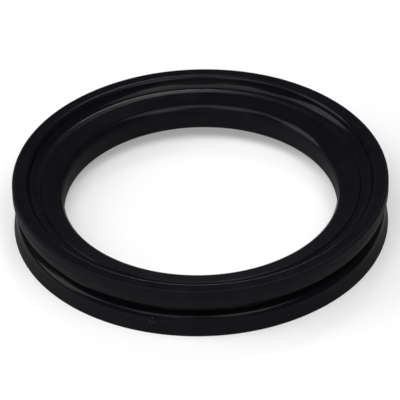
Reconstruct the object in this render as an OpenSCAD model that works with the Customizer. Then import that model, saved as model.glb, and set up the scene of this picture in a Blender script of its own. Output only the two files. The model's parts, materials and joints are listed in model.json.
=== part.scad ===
// Rod wiper seal: one moulded rubber ring. Its section is drawn as radius and height, and turned about Z.
// The heel face lies on z = 0 and the rim faces up.

/* [Overall] */
// Outside diameter of the heel and of the rim band, which sit in the housing
outer_d = 66.675; // [64:0.005:76]
// Free diameter of the wiping bore, smaller than the rod that it wipes
lip_d = 48.6; // [42:0.1:50]
// Height from the heel face to the top of the rim
height = 9.525; // [8.5:0.005:12]

/* [Heel flange] */
// Height of the heel flange below the outer groove
heel_h = 3.4; // [3:0.05:4]
// Draft of the heel's outer wall, in degrees
heel_draft = 7; // [0:0.5:10]
// Width of the flat heel face
heel_face_w = 4.7; // [3:0.1:6]
// Rounding of the heel's bottom edges
heel_edge_r = 0.12; // [0.05:0.01:0.6]
// Rounding of the heel's shoulder, next to the outer groove
shoulder_r = 1.25; // [0.1:0.05:1.5]

/* [Outer groove] */
// Depth of the sharp V that the groove is drawn from
groove_depth = 2.6; // [1:0.1:3]
// Height of the groove's bottom above the heel's shoulder
groove_rise = 1.2; // [0.5:0.05:1.4]
// Opening of the groove between the shoulder and the rim's skirt
groove_mouth = 2.55; // [1.6:0.05:2.8]
// Rounding of the groove's bottom
groove_r = 0.6; // [0.1:0.05:0.8]

/* [Rim flange] */
// Width of the rim's flat top, from the outside to the rounded inner edge
rim_w = 1.95; // [1.2:0.05:2.4]
// Height of the straight band round the outside of the rim
rim_band_h = 2; // [1:0.1:2.2]
// Draft of the skirt between that band and the groove, in degrees
skirt_draft = 13; // [0:1:25]
// Rounding of the rim's outer edge
rim_edge_r = 0.2; // [0.05:0.05:0.5]
// Rounding of the rim's inner edge
rim_round_r = 0.8; // [0.3:0.05:1]
// Rounding of the skirt's lower edge
skirt_edge_r = 0.5; // [0.1:0.05:0.8]

/* [Channel and lip] */
// Depth of the channel between rim and lip, at the foot of the crest
channel_depth = 1.9; // [1.5:0.05:2.6]
// Width of the channel's straight floor, next to the crest
channel_floor_w = 0.7; // [0.2:0.05:1]
// Fall of that floor towards the crest, in degrees
channel_tilt = 6.5; // [0:0.5:12]
// Height of the lip's crest above the channel floor
crest_rise = 0.22; // [0.1:0.02:0.6]
// Steepness of the crest's outer flank, in degrees
crest_flank = 50; // [40:1:80]
// Rounding of the crest
crest_r = 0.2; // [0.05:0.05:0.4]
// Width of the sloping land between the crest and the bore
land_w = 3.95; // [2.5:0.05:4.5]
// Slope of that land, in degrees
land_slope = 15; // [5:0.5:20]
// Rounding of the lip's upper edge
lip_top_r = 1.6; // [0.3:0.05:2]
// Rounding of the lip's lower edge
lip_foot_r = 0.3; // [0.05:0.05:0.6]
// Height of the lip's lower edge above the heel face
lip_lift = 2.67; // [1:0.01:3.2]

/* [Moulding nub] */
// Height of the nub above the heel's outer wall
nub_h = 0.3; // [0.1:0.05:0.5]
// Radius of the ball that the nub is part of
nub_ball_r = 0.75; // [0.6:0.05:1]
// Height of the nub's middle above the heel face
nub_z = 2.65; // [1.2:0.05:2.8]
// Place of the nub round the ring, in degrees from the front towards the left
nub_angle = 15.5; // [0:0.5:360]

/* [Hidden] */
$fn = 180;
arc_steps = 8;
channel_steps = 16;

outer_r = outer_d / 2;
lip_r = lip_d / 2;

// Heel, groove and skirt, from the bottom up
heel_wall_r = outer_r - heel_h * tan(heel_draft);
groove_z = heel_h + groove_rise;
skirt_z = heel_h + groove_mouth;
rim_band_z = height - rim_band_h;
skirt_foot_r = outer_r - (rim_band_z - skirt_z) * tan(skirt_draft);

// Channel, crest and lip, from the rim inwards
channel_z = height - channel_depth;
crest_top_r = lip_r + land_w;
crest_top_z = channel_z + crest_rise;
crest_foot_r = crest_top_r + crest_rise / tan(crest_flank);
lip_top_z = crest_top_z - land_w * tan(land_slope);

function unit(v) = v / norm(v);

// Points along an arc about a centre
function arc(centre, radius, first_angle, sweep, steps) =
    [for (i = [0:steps]) let (a = first_angle + sweep * i / steps) centre + radius * [cos(a), sin(a)]];

// Arc that rounds the corner between two straight edges, at most as long as the edges allow
function rounded(before, corner, after, radius) =
    let (
        back = unit(before - corner),
        ahead = unit(after - corner),
        half = acos(back * ahead) / 2,
        room = 0.48 * min(norm(before - corner), norm(after - corner)),
        reach = min(radius / tan(half), room),
        bend = reach * tan(half),
        centre = corner + unit(back + ahead) * bend / sin(half),
        first = corner + back * reach - centre
    )
    arc(centre, bend, atan2(first.y, first.x), -sign(cross(back, ahead)) * (180 - 2 * half), arc_steps);

heel_inner = [outer_r - heel_face_w, 0];
heel_outer = [outer_r, 0];
shoulder = [heel_wall_r, heel_h];
groove = [outer_r - groove_depth, groove_z];
skirt_foot = [skirt_foot_r, skirt_z];
band_foot = [outer_r, rim_band_z];
rim_outer = [outer_r, height];
rim_inner = [outer_r - rim_w, height];
crest_foot = [crest_foot_r, channel_z];
crest = [crest_top_r, crest_top_z];
lip_top = [lip_r, lip_top_z];
lip_foot = [lip_r, lip_lift];

// Channel wall: an arc that runs out of the rim's rounded inner edge into the channel's straight floor
rim_centre = rim_inner - [0, rim_round_r];
wall_foot = crest_foot + channel_floor_w * [cos(channel_tilt), sin(channel_tilt)];
off_floor = [-sin(channel_tilt), cos(channel_tilt)];
across = wall_foot - rim_centre;
wall_r = (across * across - rim_round_r * rim_round_r) / (2 * (rim_round_r - across * off_floor));
wall_centre = wall_foot + wall_r * off_floor;
join = wall_centre - rim_centre;
wall_tilt = atan2(-join.x, join.y);
channel_wall = arc(wall_centre, wall_r, wall_tilt - 90, channel_tilt - wall_tilt, channel_steps);

module section() {
    polygon(concat(
        rounded(lip_foot, heel_inner, heel_outer, heel_edge_r),
        rounded(heel_inner, heel_outer, shoulder, heel_edge_r),
        rounded(heel_outer, shoulder, groove, shoulder_r),
        rounded(shoulder, groove, skirt_foot, groove_r),
        rounded(groove, skirt_foot, band_foot, skirt_edge_r),
        [band_foot],
        rounded(band_foot, rim_outer, rim_inner, rim_edge_r),
        arc(rim_centre, rim_round_r, 90, wall_tilt, arc_steps),
        [for (i = [1:channel_steps]) channel_wall[i]],
        [crest_foot],
        rounded(crest_foot, crest, lip_top, crest_r),
        rounded(crest, lip_top, lip_foot, lip_top_r),
        rounded(lip_top, lip_foot, heel_inner, lip_foot_r)
    ));
}

// Small round nub that the mould leaves on the heel's outer wall
module nub() {
    nub_foot_r = outer_r - nub_z * tan(heel_draft);
    rotate([0, 0, -90 - nub_angle])
        translate([nub_foot_r + nub_h - nub_ball_r, 0, nub_z])
            sphere(r = nub_ball_r, $fn = 48);
}

module seal_ring() {
    color([0.055, 0.055, 0.06])
        union() {
            rotate_extrude() section();
            nub();
        }
}

seal_ring();
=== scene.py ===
"""Black rubber wiper seal: one moulded ring on a pale floor, in soft studio light."""
import json
import math

import bmesh
import bpy
from mathutils import Matrix, Vector, noise


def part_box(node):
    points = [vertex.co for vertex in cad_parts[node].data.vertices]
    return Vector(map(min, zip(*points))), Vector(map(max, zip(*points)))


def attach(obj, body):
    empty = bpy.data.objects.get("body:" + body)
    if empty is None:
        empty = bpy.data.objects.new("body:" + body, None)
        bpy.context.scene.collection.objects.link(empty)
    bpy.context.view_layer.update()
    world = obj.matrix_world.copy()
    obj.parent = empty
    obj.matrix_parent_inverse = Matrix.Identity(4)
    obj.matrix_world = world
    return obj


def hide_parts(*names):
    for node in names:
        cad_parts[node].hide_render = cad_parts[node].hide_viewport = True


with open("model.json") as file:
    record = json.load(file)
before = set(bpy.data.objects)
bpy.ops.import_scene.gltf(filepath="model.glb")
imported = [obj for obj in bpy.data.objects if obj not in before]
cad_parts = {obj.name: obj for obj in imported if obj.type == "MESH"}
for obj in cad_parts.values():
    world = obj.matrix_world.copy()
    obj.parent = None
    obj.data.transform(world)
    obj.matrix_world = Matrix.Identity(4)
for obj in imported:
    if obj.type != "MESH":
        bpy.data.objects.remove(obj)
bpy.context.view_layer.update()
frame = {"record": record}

MM = 0.001
RING = "seal_ring"

# Sizes of the ring, from the frame
ring_low, ring_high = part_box(RING)
mounts = {mount["name"]: mount for mount in frame["record"]["mounts"]}
outer_r = (ring_high[0] - ring_low[0]) / 2
height = ring_high[2] - ring_low[2]
lip_r = mounts["lip_bore"]["dims"]["r_mm"] * MM

# Heel flange and outer groove
heel_h = 3.4 * MM
heel_draft = math.radians(7)
heel_face_w = 4.7 * MM
heel_edge_r = 0.12 * MM
shoulder_r = 1.25 * MM
groove_depth = 2.6 * MM
groove_rise = 1.2 * MM
groove_mouth = 2.55 * MM
groove_r = 0.6 * MM

# Rim flange
rim_w = 1.95 * MM
rim_band_h = 2 * MM
skirt_draft = math.radians(13)
rim_edge_r = 0.4 * MM
rim_round_r = 0.8 * MM
skirt_edge_r = 0.5 * MM

# Channel and lip
channel_depth = 1.9 * MM
channel_tilt = math.radians(6.5)
channel_floor_w = 0.7 * MM
crest_rise = 0.22 * MM
crest_flank = math.radians(50)
crest_r = 0.2 * MM
land_w = 3.95 * MM
land_slope = math.radians(15)
lip_top_r = 1.6 * MM
lip_foot_r = 0.3 * MM
lip_lift = 2.67 * MM

# Moulding nub on the heel's outer wall
nub_h = 0.3 * MM
nub_foot_r = 0.6 * MM
nub_z = 2.65 * MM
nub_angle = math.radians(15.5)
nub_outwards = Vector((-math.sin(nub_angle), -math.cos(nub_angle), 0))
nub_centre = nub_outwards * (outer_r - nub_z * math.tan(heel_draft)) + Vector((0, 0, nub_z))

# Steepness of the nub's flank, and how far its finer faces and its gloss reach from its middle
NUB_FLANK = 1.2
NUB_FINE_R = 2.2 * nub_foot_r
NUB_GLOSS_R = 1.2 * nub_foot_r

# Fineness of the mesh
ROUND_SEGMENTS = 8
CHANNEL_SEGMENTS = 18
ROW_LENGTH = 0.5 * MM
GUARD_WIDTH = 0.04 * MM
GUARDED_LENGTH = 4 * GUARD_WIDTH
SPIN_STEPS = 288
NUB_CUTS = 5
MERGE_DISTANCE = 0.0005 * MM
SHARP_ANGLE = math.radians(28)

# Share of its radius that a rounding keeps where it runs straight into the next one
JOINED_SHARE = 0.99

# Unevenness of the moulded rubber, always inwards from the true form
UNEVEN_DEPTH = 0.03 * MM
UNEVEN_SPACING = 14 * MM

# Rubber: near-black tones, mottled between two levels of a soft noise, and a fine grain
DARK_TONE = (0.0026, 0.0026, 0.0038, 1)
PALE_TONE = (0.0046, 0.0047, 0.0066, 1)
DARK_LEVEL = 0.3
PALE_LEVEL = 0.75
MOTTLE_SCALE = 260
MOTTLE_DETAIL = 4
GRAIN_SCALE = 5200
GRAIN_DETAIL = 3
GRAIN_STRENGTH = 0.12
GRAIN_DEPTH = 0.02 * MM

# Gloss of the rubber: its specular level, its roughness on the glossy faces, and what the dull walls add
SPECULAR_LEVEL = 0.09
GLOSSY_LEAST = 0.12
GLOSSY_MOST = 0.17
WALL_DULLNESS = 0.55

# Where the dull walls fade into the glossy faces, as shares of the way from the bore to the outside
BORE_WALL_END = 0.01
LAND_START = 0.04
RIM_TOP_END = 0.94
OUTER_WALL_START = 0.965

# Floor: a wide matt disc a hair below the heel face, and the share of white in what is seen of it
FLOOR_RADIUS = 8
FLOOR_SEGMENTS = 96
FLOOR_DROP = 0.02 * MM
FLOOR_TONE = (0.9, 0.9, 0.9, 1)
FLOOR_ROUGHNESS = 0.9
FLOOR_WHITE = 0.3

# The photograph's view, in pixels of its 400 x 400 frame, degrees, and outer radii of the ring
PHOTO_SIDE = 400
PHOTO_ELEVATION = math.radians(37.16)
PHOTO_ROLL = math.radians(1.37)
HEEL_CENTRE_X = 200.7
HEEL_CENTRE_Y = 219
PIXELS_PER_RADIUS = 186.9
CAMERA_RADII = 20

WHITE = (1, 1, 1, 1)
BLACK = (0, 0, 0, 1)


def section_corners():
    """Corners of the section as (radius, height, rounding, segments), from the heel face to the lip."""
    rim_band_z = height - rim_band_h
    skirt_z = heel_h + groove_mouth
    skirt_foot_r = outer_r - (rim_band_z - skirt_z) * math.tan(skirt_draft)
    channel_z = height - channel_depth
    crest_top_r = lip_r + land_w
    crest_top_z = channel_z + crest_rise
    crest_foot_r = crest_top_r + crest_rise / math.tan(crest_flank)
    # the channel's wall is an arc that runs out of the rim's rounded inner edge into the channel's floor
    crest_foot = Vector((crest_foot_r, channel_z))
    along_floor = Vector((math.cos(channel_tilt), math.sin(channel_tilt)))
    off_floor = Vector((-math.sin(channel_tilt), math.cos(channel_tilt)))
    wall_foot = crest_foot + channel_floor_w * along_floor
    rim_centre = Vector((outer_r - rim_w, height - rim_round_r))
    across = wall_foot - rim_centre
    hollow_r = (across.dot(across) - rim_round_r ** 2) / (2 * (rim_round_r - across.dot(off_floor)))
    join = wall_foot + hollow_r * off_floor - rim_centre
    wall_tilt = math.atan2(-join.x, join.y)
    rim_inner_r = rim_centre.x - rim_round_r * math.tan(wall_tilt / 2)
    hollow = wall_foot + hollow_r * math.tan((wall_tilt - channel_tilt) / 2) * along_floor
    return [
        (outer_r - heel_face_w, 0, heel_edge_r, ROUND_SEGMENTS),
        (outer_r, 0, heel_edge_r, ROUND_SEGMENTS),
        (outer_r - heel_h * math.tan(heel_draft), heel_h, shoulder_r, ROUND_SEGMENTS),
        (outer_r - groove_depth, heel_h + groove_rise, groove_r, ROUND_SEGMENTS),
        (skirt_foot_r, skirt_z, skirt_edge_r, ROUND_SEGMENTS),
        (outer_r, rim_band_z, 0, 0),
        (outer_r, height, rim_edge_r, ROUND_SEGMENTS),
        (rim_inner_r, height, rim_round_r * JOINED_SHARE, ROUND_SEGMENTS),
        (hollow.x, hollow.y, hollow_r * JOINED_SHARE, CHANNEL_SEGMENTS),
        (crest_foot.x, crest_foot.y, 0, 0),
        (crest_top_r, crest_top_z, crest_r, ROUND_SEGMENTS),
        (lip_r, crest_top_z - land_w * math.tan(land_slope), lip_top_r, ROUND_SEGMENTS),
        (lip_r, lip_lift, lip_foot_r, ROUND_SEGMENTS),
    ]


def rounding_reach(before, corner, after, radius):
    """Distance from a corner to the ends of an arc of that radius which rounds it."""
    half = (before - corner).angle(after - corner) / 2
    return radius / math.tan(half)


def draw_section(bm):
    """Draws the section with its rounded corners in the XZ plane, and returns its edges."""
    corners = section_corners()
    points = [Vector((radius, 0, z)) for radius, z, *_ in corners]
    verts = [bm.verts.new(point) for point in points]
    bm.faces.new(verts)
    for index, (*_, rounding, segments) in enumerate(corners):
        if not rounding:
            continue
        after = points[(index + 1) % len(points)]
        reach = rounding_reach(points[index - 1], points[index], after, rounding)
        bmesh.ops.bevel(bm, geom=[verts[index]], offset=reach, offset_type="OFFSET", affect="VERTICES",
                        segments=segments, profile=0.5, material=-1, clamp_overlap=False)
    bmesh.ops.delete(bm, geom=list(bm.faces), context="FACES_ONLY")
    for edge in list(bm.edges):
        length = edge.calc_length()
        if length > GUARDED_LENGTH:
            # a narrow row at each end keeps the shading of the flat clear of the rounding beside it
            bmesh.utils.edge_split(edge, edge.verts[0], GUARD_WIDTH / length)
            bmesh.utils.edge_split(edge, edge.verts[1], GUARD_WIDTH / edge.calc_length())
    for edge in list(bm.edges):
        rows = int(edge.calc_length() / ROW_LENGTH)
        if rows > 1:
            bmesh.ops.subdivide_edges(bm, edges=[edge], cuts=rows - 1)
    return list(bm.edges)


def raise_nub(bm):
    """Raises a small round nub from the heel's outer wall, on faces that are made finer there."""
    near = [edge for edge in bm.edges
            if all((vert.co - nub_centre).length < NUB_FINE_R for vert in edge.verts)]
    bmesh.ops.subdivide_edges(bm, edges=near, cuts=NUB_CUTS, use_grid_fill=True)
    for vert in bm.verts:
        distance = (vert.co - nub_centre).length / nub_foot_r
        if distance < 1:
            vert.co += nub_outwards * nub_h * (1 - distance ** 2) ** NUB_FLANK


def roughen_form(bm):
    """Lets the surface wander inwards by a few hundredths of a millimetre, as moulded rubber does."""
    for vert in bm.verts:
        outwards = Vector((vert.co.x, vert.co.y, 0)).normalized()
        wander = noise.noise(vert.co / UNEVEN_SPACING)
        vert.co -= outwards * UNEVEN_DEPTH * (0.5 + 0.5 * wander)


def make_ring():
    """The whole seal as one closed mesh: the section is drawn once and spun about the ring's axis."""
    bm = bmesh.new()
    edges = draw_section(bm)
    bmesh.ops.spin(bm, geom=edges + list(bm.verts), cent=(0, 0, 0), axis=(0, 0, 1), dvec=(0, 0, 0),
                   angle=2 * math.pi, steps=SPIN_STEPS, use_merge=True, use_duplicate=False)
    bmesh.ops.remove_doubles(bm, verts=list(bm.verts), dist=MERGE_DISTANCE)
    roughen_form(bm)
    raise_nub(bm)
    bmesh.ops.recalc_face_normals(bm, faces=list(bm.faces))
    mesh = bpy.data.meshes.new("wiper_ring")
    bm.to_mesh(mesh)
    bm.free()
    mesh.shade_smooth()
    mesh.set_sharp_from_angle(angle=SHARP_ANGLE)
    ring = bpy.data.objects.new("wiper_ring", mesh)
    bpy.context.scene.collection.objects.link(ring)
    return ring


def node(tree, kind, **settings):
    """Adds a node of that kind to a node tree, with its settings."""
    made = tree.nodes.new(kind)
    for name, value in settings.items():
        setattr(made, name, value)
    return made


def soft_noise(tree, place, scale, detail):
    """Soft noise over the piece, from 0 to 1."""
    made = node(tree, "ShaderNodeTexNoise")
    made.inputs["Scale"].default_value = scale
    made.inputs["Detail"].default_value = detail
    tree.links.new(place, made.inputs["Vector"])
    return made.outputs["Fac"]


def colour_ramp(tree, level, stops):
    """Colours a level by stops, each a position and its colour."""
    made = node(tree, "ShaderNodeValToRGB")
    elements = made.color_ramp.elements
    elements.remove(elements[1])
    elements[0].position, elements[0].color = stops[0]
    for position, colour in stops[1:]:
        elements.new(position).color = colour
    tree.links.new(level, made.inputs["Fac"])
    return made.outputs["Color"]


def wall_mask(tree, place):
    """White on the bore's wall and on the outer walls, black on the land, the channel and the rim's top."""
    flat_place = node(tree, "ShaderNodeVectorMath", operation="MULTIPLY")
    flat_place.inputs[1].default_value = (1, 1, 0)
    tree.links.new(place, flat_place.inputs[0])
    from_axis = node(tree, "ShaderNodeVectorMath", operation="LENGTH")
    tree.links.new(flat_place.outputs["Vector"], from_axis.inputs[0])
    across_ring = node(tree, "ShaderNodeMapRange")
    across_ring.inputs["From Min"].default_value = lip_r
    across_ring.inputs["From Max"].default_value = outer_r
    tree.links.new(from_axis.outputs["Value"], across_ring.inputs["Value"])
    stops = [(BORE_WALL_END, WHITE), (LAND_START, BLACK), (RIM_TOP_END, BLACK), (OUTER_WALL_START, WHITE)]
    return colour_ramp(tree, across_ring.outputs["Result"], stops)


def dullness_off_nub(tree, place):
    """The roughness that a wall adds, apart from the nub, which is as glossy as the rim's top."""
    from_nub = node(tree, "ShaderNodeVectorMath", operation="DISTANCE")
    from_nub.inputs[1].default_value = nub_centre
    tree.links.new(place, from_nub.inputs[0])
    off_nub = node(tree, "ShaderNodeMapRange")
    off_nub.inputs["From Min"].default_value = nub_foot_r
    off_nub.inputs["From Max"].default_value = NUB_GLOSS_R
    off_nub.inputs["To Max"].default_value = WALL_DULLNESS
    tree.links.new(from_nub.outputs["Value"], off_nub.inputs["Value"])
    return off_nub.outputs["Result"]


def black_rubber():
    """Black moulded rubber: mottled near-black with a fine grain, satin on top and dull on its walls."""
    material = bpy.data.materials.new("black_rubber")
    material.use_nodes = True
    tree = material.node_tree
    shader = tree.nodes["Principled BSDF"]
    shader.inputs["Specular IOR Level"].default_value = SPECULAR_LEVEL
    place = node(tree, "ShaderNodeTexCoord").outputs["Object"]

    mottle = soft_noise(tree, place, MOTTLE_SCALE, MOTTLE_DETAIL)
    tone = colour_ramp(tree, mottle, [(DARK_LEVEL, DARK_TONE), (PALE_LEVEL, PALE_TONE)])
    tree.links.new(tone, shader.inputs["Base Color"])

    gloss = node(tree, "ShaderNodeMapRange")
    gloss.inputs["To Min"].default_value = GLOSSY_LEAST
    gloss.inputs["To Max"].default_value = GLOSSY_MOST
    tree.links.new(mottle, gloss.inputs["Value"])
    roughness = node(tree, "ShaderNodeMath", operation="MULTIPLY_ADD")
    tree.links.new(wall_mask(tree, place), roughness.inputs[0])
    tree.links.new(dullness_off_nub(tree, place), roughness.inputs[1])
    tree.links.new(gloss.outputs["Result"], roughness.inputs[2])
    tree.links.new(roughness.outputs["Value"], shader.inputs["Roughness"])

    relief = node(tree, "ShaderNodeBump")
    relief.inputs["Strength"].default_value = GRAIN_STRENGTH
    relief.inputs["Distance"].default_value = GRAIN_DEPTH
    tree.links.new(soft_noise(tree, place, GRAIN_SCALE, GRAIN_DETAIL), relief.inputs["Height"])
    tree.links.new(relief.outputs["Normal"], shader.inputs["Normal"])
    return material


def floor_paint():
    """Matt white, which the eye and reflections see paler than its light makes it, with a faint shadow."""
    material = bpy.data.materials.new("floor_paint")
    material.use_nodes = True
    tree = material.node_tree
    shader = tree.nodes["Principled BSDF"]
    shader.inputs["Base Color"].default_value = FLOOR_TONE
    shader.inputs["Roughness"].default_value = FLOOR_ROUGHNESS
    shader.inputs["Specular IOR Level"].default_value = 0
    glow = node(tree, "ShaderNodeEmission")
    seen = node(tree, "ShaderNodeLightPath")
    by_eye = node(tree, "ShaderNodeMath", operation="MAXIMUM")
    tree.links.new(seen.outputs["Is Camera Ray"], by_eye.inputs[0])
    tree.links.new(seen.outputs["Is Glossy Ray"], by_eye.inputs[1])
    by_any = node(tree, "ShaderNodeMath", operation="MAXIMUM")
    tree.links.new(by_eye.outputs["Value"], by_any.inputs[0])
    tree.links.new(seen.outputs["Is Transmission Ray"], by_any.inputs[1])
    share = node(tree, "ShaderNodeMath", operation="MULTIPLY")
    share.inputs[1].default_value = FLOOR_WHITE
    tree.links.new(by_any.outputs["Value"], share.inputs[0])
    blend = node(tree, "ShaderNodeMixShader")
    tree.links.new(share.outputs["Value"], blend.inputs["Fac"])
    tree.links.new(shader.outputs["BSDF"], blend.inputs[1])
    tree.links.new(glow.outputs["Emission"], blend.inputs[2])
    tree.links.new(blend.outputs["Shader"], tree.nodes["Material Output"].inputs["Surface"])
    return material


def pale_floor():
    """A wide floor for the ring to lie on."""
    bm = bmesh.new()
    bmesh.ops.create_circle(bm, cap_ends=True, segments=FLOOR_SEGMENTS, radius=FLOOR_RADIUS,
                            matrix=Matrix.Translation((0, 0, -FLOOR_DROP)))
    mesh = bpy.data.meshes.new("floor")
    bm.to_mesh(mesh)
    bm.free()
    mesh.materials.append(floor_paint())
    floor = bpy.data.objects.new("floor", mesh)
    bpy.context.scene.collection.objects.link(floor)


def soft_light(name, azimuth, elevation, distance, width, depth, glow):
    """A softbox aimed at the ring: azimuth 0 is behind it and 90 to its right; a glow of 1 is white."""
    turn = math.radians(azimuth)
    rise = math.radians(elevation)
    aim = Vector((math.sin(turn) * math.cos(rise), math.cos(turn) * math.cos(rise), math.sin(rise)))
    lamp = bpy.data.lights.new(name, "AREA")
    lamp.shape = "RECTANGLE"
    lamp.size = width
    lamp.size_y = depth
    lamp.energy = glow * math.pi * width * depth
    light = bpy.data.objects.new(name, lamp)
    facing = aim.to_track_quat("Z", "Y").to_matrix().to_4x4()
    light.matrix_world = Matrix.Translation(aim * distance) @ facing
    bpy.context.scene.collection.objects.link(light)


def soft_sky(strength):
    """An even grey sky that fills the shadows."""
    world = bpy.data.worlds.new("studio")
    world.use_nodes = True
    world.node_tree.nodes["Background"].inputs["Color"].default_value = WHITE
    world.node_tree.nodes["Background"].inputs["Strength"].default_value = strength
    bpy.context.scene.world = world


def photo_camera():
    """A long lens in front of the ring, looking down on it as the photograph does."""
    data = bpy.data.cameras.new("photo_camera")
    data.sensor_width = 36
    data.lens = data.sensor_width * PIXELS_PER_RADIUS * CAMERA_RADII / PHOTO_SIDE
    data.clip_start = 0.01
    data.clip_end = 50
    camera = bpy.data.objects.new("photo_camera", data)
    back = Vector((0, -math.cos(PHOTO_ELEVATION), math.sin(PHOTO_ELEVATION)))
    place = back * CAMERA_RADII * outer_r
    # the photograph shows the heel's centre below its own middle, so the camera aims above that centre
    pixel = outer_r / PIXELS_PER_RADIUS
    rise = (HEEL_CENTRE_Y - PHOTO_SIDE / 2) * pixel / math.cos(PHOTO_ELEVATION)
    aside = (PHOTO_SIDE / 2 - HEEL_CENTRE_X) * pixel
    look = place - Vector((aside, 0, rise))
    turn = look.to_track_quat("Z", "Y").to_matrix().to_4x4() @ Matrix.Rotation(-PHOTO_ROLL, 4, "Z")
    camera.matrix_world = Matrix.Translation(place) @ turn
    bpy.context.scene.collection.objects.link(camera)
    bpy.context.scene.camera = camera


photo_camera()
bpy.context.scene.view_settings.view_transform = "Standard"
pale_floor()
soft_sky(strength=0.15)
soft_light("back_lamp", azimuth=5.5, elevation=51.3, distance=0.8, width=0.11, depth=0.11, glow=15.5)
soft_light("left_softbox", azimuth=-86, elevation=36, distance=0.8, width=0.4, depth=0.6, glow=4)
soft_light("top_softbox", azimuth=180, elevation=80, distance=0.8, width=0.95, depth=0.5, glow=2.7)
soft_light("front_right_lamp", azimuth=150, elevation=55, distance=0.8, width=0.3, depth=0.3, glow=3)
soft_light("front_left_lamp", azimuth=-150, elevation=55, distance=0.8, width=0.3, depth=0.3, glow=2)
soft_light("front_fill", azimuth=180, elevation=27, distance=0.9, width=0.8, depth=0.6, glow=0.5)

ring = make_ring()
ring.data.materials.append(black_rubber())
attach(ring, "root")
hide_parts(RING)
